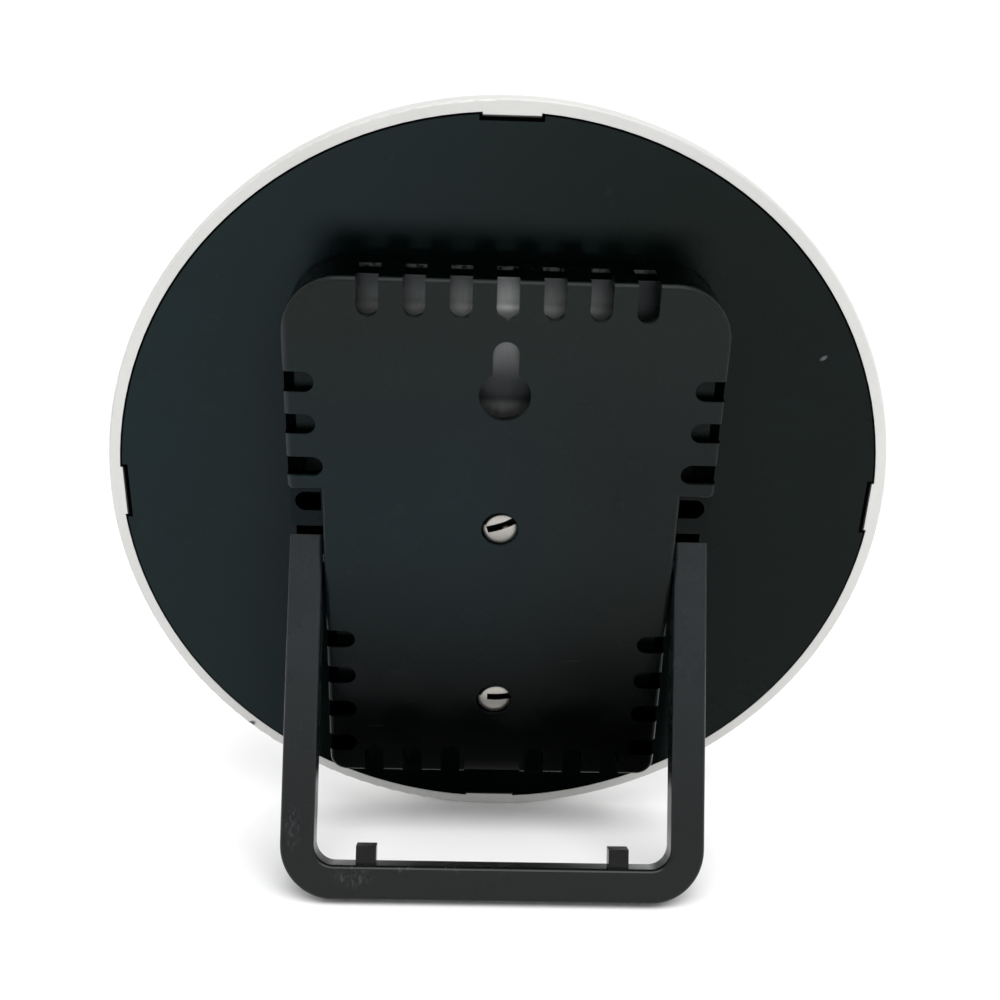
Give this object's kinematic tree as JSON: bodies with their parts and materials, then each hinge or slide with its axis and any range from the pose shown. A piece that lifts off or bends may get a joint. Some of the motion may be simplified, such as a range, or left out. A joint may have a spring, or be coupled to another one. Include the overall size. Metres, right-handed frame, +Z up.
{
  "type": "digital photo frame",
  "caption": "Round digital photo frame with a slim bezel, a vented rear housing with a keyhole, small front keys and a U-shaped stand that folds out.",
  "frame": {"origin": "middle of the part's outline at the level of the surface it stands on", "axes": "+Z up, the screen faces -Y and the back and stand face +Y, +X to the right as seen from the front"},
  "size_m": [0.18, 0.0662, 0.1745],
  "materials": {
    "bezel_white": "satin",
    "plate_black": "matt",
    "housing_black": "fine spark-eroded texture",
    "stand_grey": "satin",
    "fascia_gloss": "gloss",
    "window_clear": "polished",
    "lcd_dark": "polished",
    "diffuser_white": "matt",
    "guide_clear": "polished",
    "led_board": "matt",
    "sheet_steel": "bright rolled",
    "screw_nickel": "nickel plated",
    "pin_steel": "blackened",
    "brass": "turned",
    "board_green": "solder mask",
    "chip_black": "moulded epoxy",
    "can_aluminium": "drawn",
    "ferrite": "sintered",
    "connector_cream": "matt",
    "foam": "foam",
    "inner_grey": "matt",
    "key_silver": "satin paint",
    "flat_cable": "polyimide film",
    "flat_cable_white": "film"
  },
  "bodies": {
    "frame": {"bezel_ring": "bezel_white", "front_fascia": "fascia_gloss", "screen_window": "window_clear", "lcd_panel": "lcd_dark", "diffuser_sheet": "diffuser_white", "light_guide": "guide_clear", "led_strip": "led_board", "lcd_rear_tray": "sheet_steel", "foam_pads": "foam", "mid_frame": "inner_grey", "key_board": "board_green", "tact_switches": "chip_black", "key_board_screws": "screw_nickel", "key_ribbon_cable": "flat_cable_white", "rear_plate": "plate_black", "main_board": "board_green", "board_screws": "screw_nickel", "processor_chip": "chip_black", "memory_chips": "chip_black", "capacitors": "can_aluminium", "power_inductor": "ferrite", "coin_cell_holder": "connector_cream", "coin_cell": "sheet_steel", "lcd_connector": "connector_cream", "lcd_ribbon_cable": "flat_cable", "card_socket": "sheet_steel", "dc_jack": "chip_black", "dc_jack_contacts": "screw_nickel", "shield_cover": "sheet_steel", "housing_posts": "brass", "rear_housing": "housing_black", "housing_screws": "screw_nickel"},
    "stand": {"stand": "stand_grey", "pivot_pins": "pin_steel"},
    "power_key_body": {"power_key": "key_silver"},
    "previous_key_body": {"previous_key": "key_silver"},
    "play_key_body": {"play_key": "key_silver"},
    "next_key_body": {"next_key": "key_silver"},
    "menu_key_body": {"menu_key": "key_silver"}
  },
  "joints": [
    {"name": "stand_fold", "type": "hinge", "parent": "frame", "child": "stand", "pos_m": [0, 0.01054, 0.07384], "axis": [1, 0, 0], "range_deg": [-30, 0]},
    {"name": "power_key_press", "type": "slide", "parent": "frame", "child": "power_key_body", "axis": [0, 0.9625, -0.2711], "range_m": [0, 0.0005], "stiffness_N_per_m": 3000},
    {"name": "previous_key_press", "type": "slide", "parent": "frame", "child": "previous_key_body", "axis": [0, 0.9625, -0.2711], "range_m": [0, 0.0005], "stiffness_N_per_m": 3000},
    {"name": "play_key_press", "type": "slide", "parent": "frame", "child": "play_key_body", "axis": [0, 0.9625, -0.2711], "range_m": [0, 0.0005], "stiffness_N_per_m": 3000},
    {"name": "next_key_press", "type": "slide", "parent": "frame", "child": "next_key_body", "axis": [0, 0.9625, -0.2711], "range_m": [0, 0.0005], "stiffness_N_per_m": 3000},
    {"name": "menu_key_press", "type": "slide", "parent": "frame", "child": "menu_key_body", "axis": [0, 0.9625, -0.2711], "range_m": [0, 0.0005], "stiffness_N_per_m": 3000}
  ]
}
